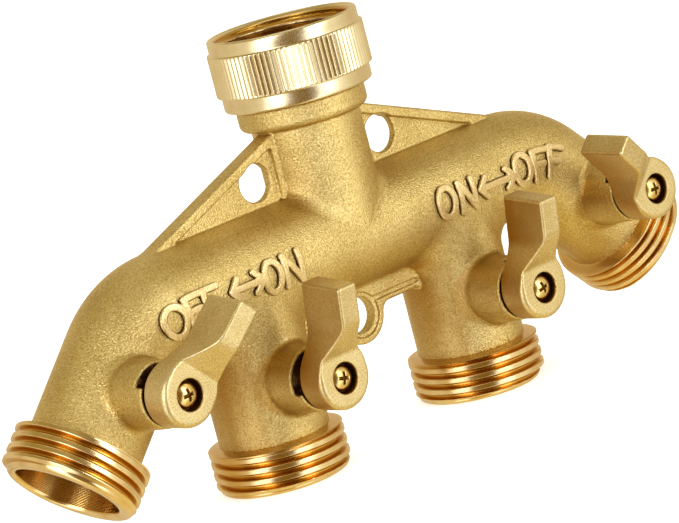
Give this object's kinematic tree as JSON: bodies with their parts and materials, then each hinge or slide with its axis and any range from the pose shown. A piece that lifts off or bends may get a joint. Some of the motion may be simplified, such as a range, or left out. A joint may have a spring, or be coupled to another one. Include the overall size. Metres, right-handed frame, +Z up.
{
  "type": "hose splitter",
  "caption": "Cast brass garden hose splitter with a knurled swivel inlet nut and lever-operated quarter-turn ball valves on its threaded outlets.",
  "frame": {"origin": "On the neck's axis, on the inlet washer's sealing face", "axes": "+Z up the neck towards the tap, +X along the manifold, levers on the -Y side"},
  "size_m": [0.1732, 0.0486, 0.0841],
  "materials": {
    "cast_brass": "shot-blasted cast brass, matt with a fine sparkle",
    "nut_brass": "turned and satin polished",
    "machined_brass": "turned",
    "lever_brass": "shot-blasted cast brass, a little smoother than the casting",
    "screw_brass": "bright yellow plating",
    "chromed_ball": "polished chrome plate on brass",
    "seat_plastic": "white fluoropolymer",
    "black_rubber": "moulded rubber",
    "ring_steel": "spring steel wire"
  },
  "bodies": {
    "splitter_body": {"manifold_casting": "cast_brass", "nut_retaining_ring": "ring_steel", "inlet_washer": "black_rubber", "valve_1_inner_seat": "seat_plastic", "valve_1_outer_seat": "seat_plastic", "valve_1_seat_retainer": "machined_brass", "valve_2_inner_seat": "seat_plastic", "valve_2_outer_seat": "seat_plastic", "valve_2_seat_retainer": "machined_brass", "valve_3_inner_seat": "seat_plastic", "valve_3_outer_seat": "seat_plastic", "valve_3_seat_retainer": "machined_brass", "valve_4_inner_seat": "seat_plastic", "valve_4_outer_seat": "seat_plastic", "valve_4_seat_retainer": "machined_brass"},
    "inlet_nut": {"swivel_nut": "nut_brass"},
    "valve_1_rotor": {"valve_1_lever": "lever_brass", "valve_1_lever_screw": "screw_brass", "valve_1_stem": "machined_brass", "valve_1_stem_o_ring": "black_rubber", "valve_1_ball": "chromed_ball"},
    "valve_2_rotor": {"valve_2_lever": "lever_brass", "valve_2_lever_screw": "screw_brass", "valve_2_stem": "machined_brass", "valve_2_stem_o_ring": "black_rubber", "valve_2_ball": "chromed_ball"},
    "valve_3_rotor": {"valve_3_lever": "lever_brass", "valve_3_lever_screw": "screw_brass", "valve_3_stem": "machined_brass", "valve_3_stem_o_ring": "black_rubber", "valve_3_ball": "chromed_ball"},
    "valve_4_rotor": {"valve_4_lever": "lever_brass", "valve_4_lever_screw": "screw_brass", "valve_4_stem": "machined_brass", "valve_4_stem_o_ring": "black_rubber", "valve_4_ball": "chromed_ball"}
  },
  "joints": [
    {"name": "nut_swivel", "type": "hinge", "parent": "splitter_body", "child": "inlet_nut", "pos_m": [0, 0, -0.0053], "axis": [0, 0, 1], "continuous": true},
    {"name": "valve_1_turn", "type": "hinge", "parent": "splitter_body", "child": "valve_1_rotor", "pos_m": [-0.06319, 0, -0.04739], "axis": [0, -1, 0], "range_deg": [0, 90]},
    {"name": "valve_2_turn", "type": "hinge", "parent": "splitter_body", "child": "valve_2_rotor", "pos_m": [-0.0272, 0, -0.0566], "axis": [0, -1, 0], "range_deg": [0, 90]},
    {"name": "valve_3_turn", "type": "hinge", "parent": "splitter_body", "child": "valve_3_rotor", "pos_m": [0.0272, 0, -0.0566], "axis": [0, 1, 0], "range_deg": [0, 90]},
    {"name": "valve_4_turn", "type": "hinge", "parent": "splitter_body", "child": "valve_4_rotor", "pos_m": [0.06319, 0, -0.04739], "axis": [0, 1, 0], "range_deg": [0, 90]}
  ]
}
